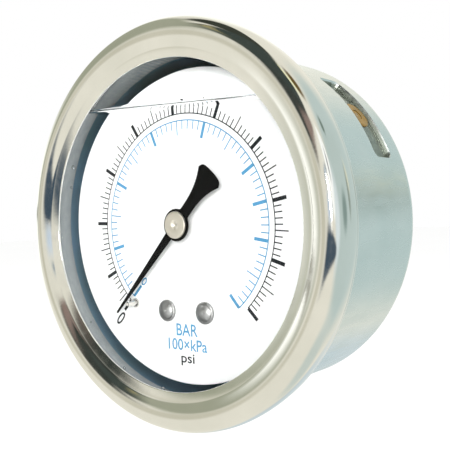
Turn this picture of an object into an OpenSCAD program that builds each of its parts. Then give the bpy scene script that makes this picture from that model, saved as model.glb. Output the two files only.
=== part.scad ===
// Liquid-filled Bourdon-tube pressure gauge, 63 mm size, connection at the centre of the back.
// The dial faces -Y, +Z is 12 o'clock and +X is to the right as seen from the front.
// The end of the threaded stem is the origin.
// A station is a distance behind the plane of the bezel's widest point, measured along +Y.
// A bearing is a clockwise angle from 12 o'clock, as seen from the front.

/* [Case] */
// Outside diameter of the case wall
case_d = 61; // [60.8:0.1:61.4]
// Thickness of the drawn case
sheet = 0.8; // [0.6:0.1:0.8]
// Outside radius of the rear corner of the case
corner_r = 2.6; // [2:0.2:4]
// Depth of the pressed side recess
recess_depth = 1.3; // [1:0.1:1.4]

/* [Bezel and window] */
// Outside diameter of the rolled bezel
bezel_d = 68; // [67.8:0.1:69]
// Diameter of the opening in the bezel
opening_d = 54.7; // [52:0.1:56]
// Thickness of the window
window_t = 2.5; // [2:0.1:2.8]

/* [Dial and pointer] */
// Diameter of the dial
dial_d = 54.2; // [52:0.1:56]
// Thickness of the dial
dial_t = 0.8; // [0.5:0.1:1]
// Radius from the axis to the tip of the pointer
pointer_r = 22; // [19:0.5:24]
// Radius from the axis to the end of the counterweight
counter_r = 11.75; // [9:0.25:13]

/* [Movement] */
// Turns of the hairspring
spring_turns = 3.5; // [2.5:0.5:4.5]
// Thickness of the hairspring strip
spring_t = 0.16; // [0.1:0.02:0.2]

/* [Bourdon tube] */
// Radius of the tube's centre line
tube_r = 21.5; // [21.3:0.1:21.7]
// Width of the flattened tube along the axis
tube_w = 8; // [6.5:0.25:8]
// Thickness of the flattened tube across its width
tube_h = 3.2; // [2.8:0.1:3.4]
// Wall thickness of the tube
tube_wall = 0.6; // [0.4:0.1:0.8]

/* [Socket] */
// Size across the flats of the wrench square
square_af = 14; // [13:0.5:15]
// Length of the wrench square
square_l = 9.4; // [8:0.2:12]
// Length of the threaded stem
stem_l = 14; // [12:1:18]
// Crest diameter of the pipe thread
thread_d = 13.2; // [12.8:0.1:13.4]

/* [Hidden] */
$fn = 64;
eps = 0.01;

// Stations of the sheet parts
lip_front = -3;
lip_back = lip_front + 0.8;
window_back = lip_back + window_t;
flange_front = 1;
flange_back = flange_front + sheet;
bezel_back = flange_back + 0.8;
dial_face = 6;
dial_back = dial_face + dial_t;
case_back = 28.75;
case_floor = case_back - sheet;

// Stations of the movement
front_plate = [9, 10];
back_plate = [16, 17];
arbor = [10.3, 15.7];
pinion = [11.5, 13.3];
sector_plane = [12, 12.8];
link_plane = [13.1, 13.7];
spring_plane = [14.4, 15.2];

// Stations of the socket
pad_front = back_plate[1];
arm = [18.5, 25];
inner_flange = [22.5, 27.2];
square_front = case_back + 0.55;
square_back = square_front + square_l;
overall = square_back + stem_l;

// Radii
case_r = case_d / 2;
case_inner_r = case_r - sheet;
flange_r = case_r + 2.1;
flange_root = 0.35;
bezel_r = bezel_d / 2;
window_r = 31.6;
skirt_r = 29;

// Rolled edge and rear curl of the bezel
roll_r = 2.6;
roll_at = [bezel_r - roll_r, lip_front + 1.7];
crease_r = 29.4;
lip_slope = 0.35;
curl_r = 1.2;
curl_at = [bezel_r - curl_r, bezel_back - curl_r];

// Pressed recess with the relief plug
recess_from = 38;
recess_to = 71;
recess_plane = [17.3, 22.8];
plug_bearing = 54.5;
plug_station = 20.05;
plug_r = 1.65;
plug_clearance = 0.05;
plug_head_r = 2.55;
plug_head_t = 0.9;
recess_r = case_r - recess_depth;

// Dial fittings
dial_screw_x = 4.25;
dial_screw_z = -14.8;
dial_screw_r = 1;
stop_pin_at = 18.4;
stop_pin_bearing = -138.8;
stop_pin_r = 0.42;
zero_bearing = -135.5;

// Pointer
pointer_plane = [2.85, 3.15];
pointer_half_root = 0.85;
pointer_half_tip = 0.2;
pointer_ring_r = 2.75;
hub_r = 1;
counter_half_angle = 14.8;
counter_neck = 1.03;

// Gear train
gear_module = 0.2;
pinion_teeth = 12;
wheel_teeth = 120;
sector_bearing = 54;
backlash = 0.04;
pinion_pitch_r = gear_module * pinion_teeth / 2;
wheel_pitch_r = gear_module * wheel_teeth / 2;
centre_distance = pinion_pitch_r + wheel_pitch_r;
sector_at = centre_distance * [sin(sector_bearing), cos(sector_bearing)];
first_tooth = -2;
last_tooth = 11;
arbor_r = 0.8;
front_pivot_r = 0.7;
dial_hole_r = front_pivot_r + 0.3;
rear_pivot_r = 0.5;
sector_arbor_r = 1;
sector_pivot_r = 0.6;
running = 0.05;

// Linkage
tail_l = 4.155;
tail_bearing = 71.28;
tail_at = sector_at + tail_l * [sin(tail_bearing), cos(tail_bearing)];
tip_at = [19.7, -5];
link_pin_r = 0.5;
open_pivot_clearance = 0.12;
link_half_w = 1.2;

// Hairspring
collet_r = 1.7;
spring_r = 5.3;
stud_r = 0.7;

// Movement frame
pillars_at = [[-7.5, 3], [-2.5, -8.2], [12.5, -2.5], [4, 12]];
pillar_r = 1.2;
tenon_r = 0.8;
pillar_screw_r = 0.6;
movement_screws_at = [[5.5, -5.5], [-4.6, -5.2]];
movement_screw_r = 0.75;

// Bourdon tube
tube_from = 188;
tube_to = 458;
tube_station = 20;
tip_to = 467.5;

// Socket
pad_r = 9.2;
arm_w = 14;
arm_end = 24.3;
post_r = 2.6;
back_screw_x = 15.5;
back_screw_r = 1.45;
neck_r = 9.6;
rear_hole_r = 10.2;
passage_r = 1.5;
port_r = 2.4;
port_l = 10;
thread_r = thread_d / 2;
thread_depth = 0.9;
pitch = 25.4 / 18;
crest_w = 0.2;

// Turned disc between two stations.
module disc(r, from, to)
  translate([0, from - overall, 0])
    rotate([-90, 0, 0])
      cylinder(r = r, h = to - from);

// Turned cone between two stations.
module taper(r1, r2, from, to)
  translate([0, from - overall, 0])
    rotate([-90, 0, 0])
      cylinder(r1 = r1, r2 = r2, h = to - from);

// Turned shape from a profile drawn as (radius, station).
module lathe()
  translate([0, -overall, 0])
    rotate([-90, 0, 0])
      rotate_extrude($fn = 96)
        children();

// The same profile swept only between two bearings.
module lathe_arc(from, to)
  translate([0, -overall, 0])
    rotate([-90, 0, 0])
      rotate([0, 0, from - 90])
        rotate_extrude(angle = to - from, $fn = 96)
          children();

// Flat part between two stations, drawn as (x, z) seen from the front.
module plate(from, to)
  translate([0, to - overall, 0])
    rotate([90, 0, 0])
      linear_extrude(height = to - from)
        children();

// Moves a part sideways to (x, z).
module at(p)
  translate([p[0], 0, p[1]])
    children();

// Rectangle given by two opposite corners.
module box_2d(x1, y1, x2, y2)
  translate([x1, y1])
    square([x2 - x1, y2 - y1]);

// Point at a radius and bearing, as (x, z).
function polar(r, a) = [r * sin(a), r * cos(a)];

// Involute function, in degrees.
function inv(phi) = tan(phi) * 180 / PI - phi;

// Half the angle a gear tooth covers at radius r.
function half_tooth(r, teeth) =
  let (pitch_r = gear_module * teeth / 2, base_r = pitch_r * cos(20))
  90 / teeth - backlash / pitch_r * 45 / PI + inv(20) - inv(acos(min(1, base_r / r)));

// One gear tooth pointing along a bearing.
module tooth(a, teeth, root_r, tip_r) {
  start_r = max(root_r, gear_module * teeth / 2 * cos(20));
  radii = [for (i = [0:3]) start_r + (tip_r - start_r) * i / 3];
  inner = root_r - gear_module;
  left = [for (r = radii) polar(r, a - half_tooth(r, teeth))];
  right = [for (i = [3:-1:0]) polar(radii[i], a + half_tooth(radii[i], teeth))];
  foot = half_tooth(start_r, teeth);
  polygon(concat([polar(inner, a - foot)], left, right, [polar(inner, a + foot)]));
}

// ---- Case and window ----

module case_profile() {
  box_2d(case_inner_r, flange_front, flange_r, flange_back);
  box_2d(case_inner_r, flange_front, case_r, case_back - corner_r);
  box_2d(rear_hole_r, case_floor, case_r - corner_r, case_back);
  polygon([
    [case_r - eps, flange_back - eps],
    [case_r + flange_root, flange_back - eps],
    [case_r - eps, flange_back + 1.4]
  ]);
  intersection() {
    translate([case_r - corner_r, case_back - corner_r])
      difference() {
        circle(r = corner_r);
        circle(r = corner_r - sheet);
      }
    box_2d(case_r - corner_r, case_back - corner_r, case_r, case_back);
  }
}

module recess_cut()
  lathe_arc(recess_from, recess_to)
    box_2d(recess_r, recess_plane[0], case_r + 1, recess_plane[1]);

module recess_bump()
  lathe_arc(recess_from - 1.6, recess_to + 1.6)
    box_2d(recess_r - sheet, recess_plane[0] - sheet, case_inner_r + eps, recess_plane[1] + sheet);

module case()
  color("gainsboro")
    difference() {
      union() {
        lathe() case_profile();
        recess_bump();
      }
      recess_cut();
      relief_hole();
      for (x = [-back_screw_x, back_screw_x])
        at([x, 0])
          disc(back_screw_r + 0.1, case_floor - 1, case_back + 1);
    }

module relief_hole()
  rotate([0, plug_bearing, 0])
    translate([0, plug_station - overall, 0])
      cylinder(r = plug_r + plug_clearance, h = case_r);

module bezel_solid() {
  polygon([
    [opening_d / 2, lip_front + lip_slope],
    [crease_r, lip_front],
    [roll_at[0], lip_front],
    [roll_at[0], lip_back],
    [opening_d / 2, lip_back]
  ]);
  translate(roll_at)
    circle(r = roll_r);
  box_2d(roll_at[0], roll_at[1], bezel_r, curl_at[1]);
  translate(curl_at)
    circle(r = curl_r);
  box_2d(case_r + 0.4, flange_back, curl_at[0], bezel_back);
}

module bezel_hollow() {
  translate(roll_at)
    circle(r = roll_r - 0.8);
  box_2d(0, lip_back, window_r + 0.05, flange_front);
  box_2d(roll_at[0], roll_at[1], bezel_r - 0.8, flange_front);
  box_2d(0, flange_front, flange_r + 0.1, flange_back);
}

module bezel()
  color("silver")
    lathe()
      difference() {
        bezel_solid();
        bezel_hollow();
      }

module window()
  color("lightcyan", 0.4)
    disc(window_r, lip_back, window_back);

module window_gasket()
  color("gray")
    lathe() {
      box_2d(skirt_r, window_back, window_r, flange_front);
      box_2d(skirt_r, window_back, case_inner_r, 5.5);
    }

module relief_plug()
  color("orange")
    rotate([0, plug_bearing, 0])
      translate([0, plug_station - overall, 0]) {
        translate([0, 0, recess_r - 2.2])
          cylinder(r = plug_r, h = 2.2 + eps);
        translate([0, 0, recess_r])
          cylinder(r = plug_head_r, h = plug_head_t - 0.25);
        translate([0, 0, recess_r + plug_head_t - 0.25])
          cylinder(r1 = plug_head_r, r2 = plug_head_r - 0.25, h = 0.25);
      }

// ---- Dial and pointer ----

module dial()
  color("white")
    difference() {
      disc(dial_d / 2, dial_face, dial_back);
      disc(dial_hole_r, dial_face - 1, dial_back + 1);
      for (x = [-dial_screw_x, dial_screw_x])
        at([x, dial_screw_z])
          disc(dial_screw_r + running, dial_face - 1, dial_back + 1);
      at(polar(stop_pin_at, stop_pin_bearing))
        disc(stop_pin_r, dial_face - 1, dial_back + 1);
    }

module dial_screw()
  difference() {
    union() {
      disc(dial_screw_r - running, dial_face - eps, dial_back + 5);
      disc(1.87, dial_face - 0.55, dial_face);
      lathe()
        intersection() {
          translate([0, dial_face + 2.45])
            circle(r = 3.53);
          box_2d(0, dial_face - 1.1, 1.87, dial_face - 0.54);
        }
    }
    plate(dial_face - 2, dial_face - 0.6)
      square([0.45, 4], center = true);
  }

module dial_screws()
  color("silver")
    for (x = [-dial_screw_x, dial_screw_x])
      at([x, dial_screw_z])
        dial_screw();

module stop_pin()
  color("silver")
    at(polar(stop_pin_at, stop_pin_bearing)) {
      disc(stop_pin_r, 2, dial_back);
      disc(0.9, dial_face - 0.5, dial_face);
      taper(0.6, 0.9, dial_face - 0.8, dial_face - 0.5);
    }

module needle_2d()
  polygon([
    [-pointer_half_root, 0],
    [-pointer_half_tip, pointer_r - pointer_half_tip],
    [0, pointer_r],
    [pointer_half_tip, pointer_r - pointer_half_tip],
    [pointer_half_root, 0]
  ]);

// Counterweight with hollow flanks, opposite the needle.
module counterweight_2d() {
  neck_r = 2.9;
  flank = [for (t = [0:0.125:1])
    let (r = neck_r + (counter_r - 0.5 - neck_r) * t)
    let (half = counter_neck + (r * sin(counter_half_angle) - counter_neck) * pow(t, 1.6))
    [half, -r]];
  edge = [for (i = [0:8])
    let (a = (counter_half_angle - 1.5) * (1 - i / 4))
    [counter_r * sin(a), -counter_r * cos(a)]];
  mirrored = [for (i = [len(flank) - 1:-1:0]) [-flank[i][0], flank[i][1]]];
  polygon(concat([[counter_neck, 0]], flank, edge, mirrored, [[-counter_neck, 0]]));
}

module pointer()
  color("black")
    rotate([0, zero_bearing, 0])
      difference() {
        union() {
          disc(pointer_ring_r, pointer_plane[0], pointer_plane[1]);
          plate(pointer_plane[0], pointer_plane[1])
            needle_2d();
          plate(pointer_plane[0], pointer_plane[1])
            counterweight_2d();
        }
        disc(hub_r, pointer_plane[0] - 1, pointer_plane[1] + 1);
      }

module pointer_hub()
  color("silver")
    difference() {
      union() {
        disc(2.3, pointer_plane[0] - 0.65, pointer_plane[0]);
        disc(hub_r, pointer_plane[0] - eps, pointer_plane[1] + eps);
        disc(1.6, pointer_plane[1], 4.6);
      }
      disc(front_pivot_r, 2.75, 5);
      taper(0.9, 0.1, pointer_plane[0] - 0.66, pointer_plane[0] - 0.35);
    }

// ---- Movement ----

module pinion_shaft()
  color("goldenrod") {
    disc(front_pivot_r, 2.75, arbor[0]);
    disc(arbor_r, arbor[0], arbor[1]);
    disc(rear_pivot_r, arbor[1], back_plate[1]);
    plate(pinion[0], pinion[1])
      pinion_2d();
  }

module pinion_2d() {
  root_r = pinion_pitch_r - 1.25 * gear_module;
  circle(r = root_r);
  for (i = [0:pinion_teeth - 1])
    tooth(sector_bearing + (i + 0.5) * 360 / pinion_teeth, pinion_teeth, root_r,
      pinion_pitch_r + gear_module);
}

module hairspring_collet()
  color("goldenrod")
    difference() {
      disc(collet_r, spring_plane[0] - 0.2, spring_plane[1] + 0.2);
      disc(arbor_r, spring_plane[0] - 1, spring_plane[1] + 1);
    }

// Flat spiral from the collet to the slot in the stud.
module hairspring() {
  steps = 36 * spring_turns;
  end_bearing = 270;
  start_r = collet_r + spring_t / 2 - 0.02;
  line = [for (i = [0:steps])
    let (t = i / steps)
    [start_r + (spring_r - start_r) * t, end_bearing - 360 * spring_turns * (1 - t)]];
  outer = [for (p = line) polar(p[0] + spring_t / 2, p[1])];
  inner = [for (i = [steps:-1:0]) polar(line[i][0] - spring_t / 2, line[i][1])];
  color("darkgoldenrod")
    difference() {
      plate(spring_plane[0], spring_plane[1])
        polygon(concat(outer, inner));
      disc(collet_r, spring_plane[0] - 1, spring_plane[1] + 1);
    }
}

module hairspring_stud()
  color("silver")
    at([-spring_r, 0])
      difference() {
        disc(stud_r, spring_plane[0] - 0.4, back_plate[0]);
        plate(spring_plane[0] - 1, spring_plane[1] + 0.1)
          square([spring_t + 0.12, 4], center = true);
      }

module movement_outline_2d()
  hull() {
    circle(r = 5, $fn = 48);
    translate(sector_at)
      circle(r = 3.4, $fn = 48);
    for (p = pillars_at)
      translate(p)
        circle(r = 2.6, $fn = 32);
  }

module movement_plate(stations, pinion_bore, pillar_bore)
  difference() {
    plate(stations[0], stations[1])
      movement_outline_2d();
    disc(pinion_bore, stations[0] - 1, stations[1] + 1);
    at(sector_at)
      disc(sector_pivot_r + running, stations[0] - 1, stations[1] + 1);
    for (p = pillars_at)
      at(p)
        disc(pillar_bore, stations[0] - 1, stations[1] + 1);
  }

module movement_front_plate()
  color("gold")
    movement_plate(front_plate, front_pivot_r + running, pillar_screw_r + running);

module movement_back_plate()
  color("gold")
    difference() {
      movement_plate(back_plate, rear_pivot_r + running, tenon_r);
      for (p = movement_screws_at)
        at(p)
          disc(movement_screw_r + running, back_plate[0] - 1, back_plate[1] + 1);
    }

module movement_pillars()
  color("goldenrod")
    for (p = pillars_at)
      at(p)
        difference() {
          union() {
            disc(pillar_r, front_plate[1], back_plate[0]);
            disc(tenon_r, back_plate[0] - eps, back_plate[1]);
          }
          disc(pillar_screw_r, front_plate[1] - 1, front_plate[1] + 3);
        }

// Small cheese-head screw with its head in front of a station.
module small_screw(seat, shank_r, head_r, head_t, l)
  difference() {
    union() {
      disc(head_r, seat - head_t, seat);
      disc(shank_r, seat - eps, seat + l);
    }
    plate(seat - head_t - 1, seat - head_t / 2)
      square([head_r * 3, 0.35], center = true);
  }

module pillar_screws()
  color("silver")
    for (p = pillars_at)
      at(p)
        small_screw(front_plate[0], pillar_screw_r, 1.2, 0.7, 3.8);

module movement_screws()
  color("silver")
    for (p = movement_screws_at)
      at(p)
        small_screw(back_plate[0], movement_screw_r, 1.3, 0.8, 4.5);

// Toothed rim on two spokes, drawn about the sector's centre.
module sector_rim_2d() {
  root_r = wheel_pitch_r - 1.5 * gear_module;
  mesh = sector_bearing + 180;
  step = 360 / wheel_teeth;
  from = mesh + (first_tooth - 0.5) * step;
  to = mesh + (last_tooth + 0.5) * step;
  difference() {
    ring_piece_2d(1.2, root_r, from, to);
    ring_piece_2d(3.6, root_r - 1.3, from + 8, to - 8);
  }
  for (i = [first_tooth:last_tooth])
    tooth(mesh + i * step, wheel_teeth, root_r, wheel_pitch_r + 0.7 * gear_module);
}

module sector_tail_2d()
  rotate(-tail_bearing) {
    box_2d(-1, 0, 1, tail_l);
    translate([0, tail_l])
      circle(r = 1.2);
  }

// Part of a flat ring between two bearings.
module ring_piece_2d(r1, r2, from, to) {
  steps = 12;
  outer = [for (i = [0:steps]) polar(r2, from + (to - from) * i / steps)];
  inner = [for (i = [steps:-1:0]) polar(r1, from + (to - from) * i / steps)];
  polygon(concat(outer, inner));
}

module sector_gear()
  color("goldenrod")
    difference() {
      at(sector_at) {
        disc(2.4, sector_plane[0], sector_plane[1]);
        plate(sector_plane[0], sector_plane[1])
          sector_rim_2d();
        plate(sector_plane[0], sector_plane[1])
          sector_tail_2d();
      }
      at(sector_at)
        disc(sector_arbor_r, sector_plane[0] - 1, sector_plane[1] + 1);
      at(tail_at)
        disc(link_pin_r, sector_plane[0] - 1, sector_plane[1] + 1);
    }

module sector_arbor()
  color("silver")
    at(sector_at) {
      disc(sector_pivot_r, front_plate[0], arbor[0]);
      disc(sector_arbor_r, arbor[0], arbor[1]);
      disc(sector_pivot_r, arbor[1], back_plate[1]);
    }

module link()
  color("goldenrod")
    difference() {
      plate(link_plane[0], link_plane[1])
        link_2d();
      at(tip_at)
        disc(link_pin_r + running, link_plane[0] - 1, link_plane[1] + 1);
      at(tail_at)
        disc(link_pin_r + open_pivot_clearance, link_plane[0] - 1, link_plane[1] + 1);
    }

module link_2d() {
  span = tail_at - tip_at;
  length = norm(span);
  for (p = [tip_at, tail_at])
    translate(p)
      circle(r = link_half_w);
  translate(tip_at)
    rotate(-atan2(span[0], span[1]))
      box_2d(-0.75, 0, 0.75, length);
}

module sector_link_pin()
  color("silver")
    at(tail_at) {
      disc(link_pin_r, sector_plane[0], link_plane[1] + 0.3);
      disc(0.9, link_plane[1] + 0.3, link_plane[1] + 0.7);
    }

module tip_link_pin()
  color("silver")
    at(tip_at) {
      disc(0.9, link_plane[0] - 0.7, link_plane[0] - 0.3);
      disc(link_pin_r, link_plane[0] - 0.3, link_plane[1] + 3.3);
    }

// ---- Pressure side ----

// Flattened tube section, drawn as (radius, station), shrunk by a margin.
module tube_section(margin) {
  r = tube_h / 2;
  reach = (tube_w - tube_h) / 2;
  translate([tube_r, tube_station]) {
    square([2 * (r - margin), 2 * reach], center = true);
    for (s = [-1, 1])
      translate([0, s * reach])
        circle(r = r - margin, $fn = 32);
  }
}

module bourdon_tube()
  color("peru")
    lathe_arc(tube_from, tube_to)
      difference() {
        tube_section(0);
        tube_section(tube_wall);
      }

module tube_tip()
  color("goldenrod")
    difference() {
      union() {
        lathe_arc(tube_to, tip_to)
          box_2d(tube_r - 2.1, tube_station - 4.4, tube_r + 2.1, tube_station + 4.4);
        at(tip_at)
          disc(1.1, link_plane[1] + 0.3, tube_station - 4);
      }
      at(tip_at)
        disc(link_pin_r, link_plane[1], link_plane[1] + 3.3);
    }

module flange_2d() {
  circle(r = 13.4);
  square([2 * back_screw_x, 6.4], center = true);
  for (x = [-back_screw_x, back_screw_x])
    translate([x, 0])
      circle(r = 3.2);
}

module socket_body() {
  disc(pad_r, pad_front, arm[0]);
  disc(pad_r, arm[0] - eps, inner_flange[0] + eps);
  plate(arm[0], arm[1])
    box_2d(-arm_w / 2, -arm_end, arm_w / 2, 0);
  plate(inner_flange[0], inner_flange[1])
    flange_2d();
  for (x = [-back_screw_x, back_screw_x])
    at([x, 0])
      disc(3.2, inner_flange[1] - eps, case_floor);
  for (x = [-dial_screw_x, dial_screw_x])
    at([x, dial_screw_z])
      disc(post_r, dial_back, arm[0] + eps);
}

module wrench_square()
  intersection() {
    plate(square_front, square_back)
      square(square_af, center = true);
    disc(neck_r, square_front, square_back);
  }

// Straight pipe thread drawn as rings, with a relief neck behind the square.
module stem()
  difference() {
    disc(thread_r, square_back - eps, overall);
    thread_grooves();
  }

module thread_grooves() {
  bottom = thread_r - thread_depth;
  neck_end = square_back + 1;
  rings = floor((overall - neck_end - crest_w) / pitch);
  lathe()
    box_2d(bottom, square_back + 0.001, thread_r + 1, neck_end);
  for (i = [0:rings - 1]) {
    start = neck_end + crest_w + i * pitch;
    lathe()
      polygon([
        [thread_r + eps, start],
        [bottom, start + (pitch - crest_w) / 2 - 0.08],
        [bottom, start + (pitch - crest_w) / 2 + 0.08],
        [thread_r + eps, start + pitch - crest_w]
      ]);
  }
}

// Way for the pressure, from the port to the open end of the tube.
module passages() {
  disc(port_r, overall - port_l, overall + 1);
  disc(passage_r, tube_station - passage_r, overall);
  translate([0, tube_station - overall, -tube_r - 1])
    cylinder(r = 1, h = tube_r + 1);
  lathe_arc(178, tube_from + 1)
    tube_section(tube_wall);
  lathe_arc(tube_from, tube_from + 16)
    tube_section(0);
}

module socket()
  color("goldenrod")
    difference() {
      union() {
        socket_body();
        disc(neck_r, inner_flange[1] - eps, square_front + eps);
        wrench_square();
        stem();
      }
      passages();
      for (x = [-back_screw_x, back_screw_x])
        at([x, 0])
          disc(back_screw_r, inner_flange[0] + 0.8, case_back);
      for (x = [-dial_screw_x, dial_screw_x])
        at([x, dial_screw_z])
          disc(dial_screw_r, dial_back - 1, dial_back + 6);
      for (p = movement_screws_at)
        at(p)
          disc(movement_screw_r, pad_front - 1, pad_front + 4);
    }

module throttle_screw() {
  inner_end = overall - port_l;
  color("silver")
    difference() {
      disc(port_r, inner_end, inner_end + 3);
      disc(0.4, inner_end - 1, inner_end + 4);
      plate(inner_end + 2.2, inner_end + 4)
        square([6, 0.6], center = true);
    }
}

module stem_seal()
  color("dimgray")
    lathe()
      box_2d(neck_r + 1.1, inner_flange[1], 12.3, case_floor);

module back_screw_seals()
  color("dimgray")
    for (x = [-back_screw_x, back_screw_x])
      at([x, 0])
        difference() {
          disc(3, case_back, case_back + 0.3);
          disc(back_screw_r + 0.1, case_back - 1, case_back + 1);
        }

module back_screw()
  difference() {
    union() {
      disc(back_screw_r, inner_flange[0] + 1, case_back + 0.31);
      disc(2.8, case_back + 0.3, case_back + 1.8);
      taper(2.8, 2.5, case_back + 1.8, case_back + 2.1);
    }
    plate(case_back + 1, case_back + 3)
      circle(d = 2.9, $fn = 6);
  }

module back_screws()
  color("silver")
    for (x = [-back_screw_x, back_screw_x])
      at([x, 0])
        back_screw();

case();
bezel();
window();
window_gasket();
relief_plug();
dial();
dial_screws();
stop_pin();
pointer();
pointer_hub();
pinion_shaft();
hairspring_collet();
hairspring();
hairspring_stud();
movement_front_plate();
movement_back_plate();
movement_pillars();
pillar_screws();
movement_screws();
sector_gear();
sector_arbor();
link();
sector_link_pin();
tip_link_pin();
bourdon_tube();
tube_tip();
socket();
throttle_screw();
stem_seal();
back_screws();
back_screw_seals();
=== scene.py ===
"""Looks of a liquid-filled pressure gauge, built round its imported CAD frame.

Lengths are in millimetres until they reach Blender. A station is a distance behind a plane
through the bezel's outer band, and a bearing is a clockwise angle from 12 o'clock, seen from
the front. Profiles that are turned about the gauge's axis are lists of (radius, station).
"""

from math import acos, atan2, cos, degrees, hypot, pi, radians, sin

import bmesh
import bpy
from mathutils import Matrix, Vector
from mathutils.geometry import tessellate_polygon


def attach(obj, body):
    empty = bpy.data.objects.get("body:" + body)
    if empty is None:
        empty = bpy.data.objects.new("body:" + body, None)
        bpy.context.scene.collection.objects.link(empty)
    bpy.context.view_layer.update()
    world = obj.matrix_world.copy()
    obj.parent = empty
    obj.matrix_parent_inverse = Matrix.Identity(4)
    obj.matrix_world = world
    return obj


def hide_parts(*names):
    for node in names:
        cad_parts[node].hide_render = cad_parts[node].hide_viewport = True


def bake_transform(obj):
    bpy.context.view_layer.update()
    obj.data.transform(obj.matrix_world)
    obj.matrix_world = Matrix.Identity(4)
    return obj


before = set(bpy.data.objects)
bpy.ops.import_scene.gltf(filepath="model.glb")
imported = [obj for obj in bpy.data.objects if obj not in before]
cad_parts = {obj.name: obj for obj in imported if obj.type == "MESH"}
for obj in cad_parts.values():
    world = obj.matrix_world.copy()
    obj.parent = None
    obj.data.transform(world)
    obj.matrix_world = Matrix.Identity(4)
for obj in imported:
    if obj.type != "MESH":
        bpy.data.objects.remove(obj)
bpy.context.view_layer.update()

MM = 0.001
STEM_END = 52.7                 # station of the stem's end, the origin of the frame

# Sheet parts
BEZEL_R = 34.0
OPENING_R = 27.35
LIP_FRONT = -3.0
LIP_BACK = -2.2
LIP_SLOPE = 0.35
CREASE_R = 29.0
CREST_R = 31.9
CREST_DROP = 0.9
ROLL_END = LIP_FRONT + 1.7      # where the roll reaches the outer band
BEZEL_BACK = 2.6
BAND_DROP = 0.33
CURL_R = 1.2
WINDOW_R = 31.6
WINDOW_BACK = 0.3
FLANGE_R = 32.6
FLANGE_FRONT = 1.0
FLANGE_BACK = 1.8
CASE_R = 30.5
SHEET = 0.8
CASE_BACK = 28.75
CORNER_R = 2.6
REAR_HOLE_R = 10.2
SKIRT_R = 29.0
SKIRT_END = 5.5

# Bourdon tube
TUBE_R = 21.5
TUBE_W = 8.0
TUBE_H = 3.2
TUBE_WALL = 0.6
TUBE_STATION = 20.0
TUBE_BEARINGS = (188.0, 458.0)

# Pressed recess in the case's side, and the plug in it
RECESS_BEARINGS = (38.0, 71.0)
RECESS_STATIONS = (17.3, 22.8)
RECESS_DEPTH = 1.3
RECESS_CORNER = 1.1
RECESS_EDGE = 0.35              # width of the slope from the wall to the recess's floor
PLUG_BEARING = 54.5
PLUG_STATION = 20.05
PLUG_R = 1.65
PLUG_HEAD_R = 2.55
PLUG_HEAD_T = 0.7

# Dial
DIAL_R = 27.1
DIAL_HOLE_R = 1.0
DIAL_FACE = 6.0
DIAL_BACK = 6.8
PRINT_LIFT = 0.006              # print in front of the paint, so that the two don't share a plane
PSI_RING_R = 18.84
PSI_MARK_FROM = 18.9
PSI_END = 136.0
BAR_RING_R = 17.7
RING_WIDTH = 0.2
SCREW_X = 4.25
SCREW_Z = -14.8
ZERO = -135.5                   # bearing of both scales' zero marks
STOP_PIN_R = 18.4
STOP_PIN_BEARING = -138.8

# Pointer
POINTER_FRONT = 2.85
POINTER_BACK = 3.15
NEEDLE_R = 22.0
RING_R = 2.75
COUNTER_R = 11.75

# Liquid
LEVEL = 19.9                    # height of the surface above the axis
LEVEL_TILT = 3.5
MENISCUS_R = 0.9
LIQUID_BACK = 25.5
SMALL_BUBBLES = (               # bearing, station, radius
    (-66, 3.2, 0.4),
    (-74, 4.3, 0.25),
    (-128, 3.0, 0.22),
    (-152, 2.2, 0.3),
    (-170, 4.0, 0.35),
)


# ---------------------------------------------------------------- geometry helpers

def point(x, station, z):
    """A place in the frame, in metres."""
    return Vector((x, station - STEM_END, z)) * MM


def polar(r, bearing):
    """(x, z) at a radius and bearing."""
    a = radians(bearing)
    return r * sin(a), r * cos(a)


def arc(centre, r, start, end, steps=12):
    """Points on a circle, angles in degrees from the profile's first axis."""
    angles = [radians(start + (end - start) * i / steps) for i in range(steps + 1)]
    return [(centre[0] + r * cos(a), centre[1] + r * sin(a)) for a in angles]


def rounded(corners, r, steps=4):
    """A closed 2-D outline with every corner rounded."""
    out = []
    for i, corner in enumerate(corners):
        here = Vector(corner)
        before = Vector(corners[i - 1]) - here
        after = Vector(corners[(i + 1) % len(corners)]) - here
        reach = min(r, before.length * 0.45, after.length * 0.45)
        start = here + before.normalized() * reach
        end = here + after.normalized() * reach
        for k in range(steps + 1):
            t = k / steps
            out.append(tuple(start * (1 - t) ** 2 + here * 2 * t * (1 - t) + end * t ** 2))
    return out


def add_piece(name, verts, faces, material, body, sharp=40, hollow=False):
    """One smooth-shaded piece that rides on a body, or on none if no body is given."""
    mesh = bpy.data.meshes.new(name)
    mesh.from_pydata([tuple(v) for v in verts], [], faces)
    bm = bmesh.new()
    bm.from_mesh(mesh)
    bmesh.ops.remove_doubles(bm, verts=bm.verts, dist=1e-7)
    if not hollow:
        bmesh.ops.recalc_face_normals(bm, faces=bm.faces)
    bm.to_mesh(mesh)
    bm.free()
    mesh.shade_smooth()
    mesh.set_sharp_from_angle(angle=radians(sharp))
    obj = bpy.data.objects.new(name, mesh)
    bpy.context.collection.objects.link(obj)
    mesh.materials.append(material)
    if body:
        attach(obj, body)
    return obj


def lathe_mesh(profile, steps, to_point=point):
    """Vertices and faces of a closed profile of (radius, station) turned about the axis."""
    count = len(profile)
    verts = []
    for i in range(steps):
        bearing = 360 * i / steps
        for r, station in profile:
            x, z = polar(r, bearing)
            verts.append(to_point(x, station, z))
    faces = []
    for i in range(steps):
        for k in range(count):
            a = i * count + k
            b = i * count + (k + 1) % count
            c = (i + 1) % steps * count + (k + 1) % count
            d = (i + 1) % steps * count + k
            faces.append((a, b, c, d))
    return verts, faces


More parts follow.
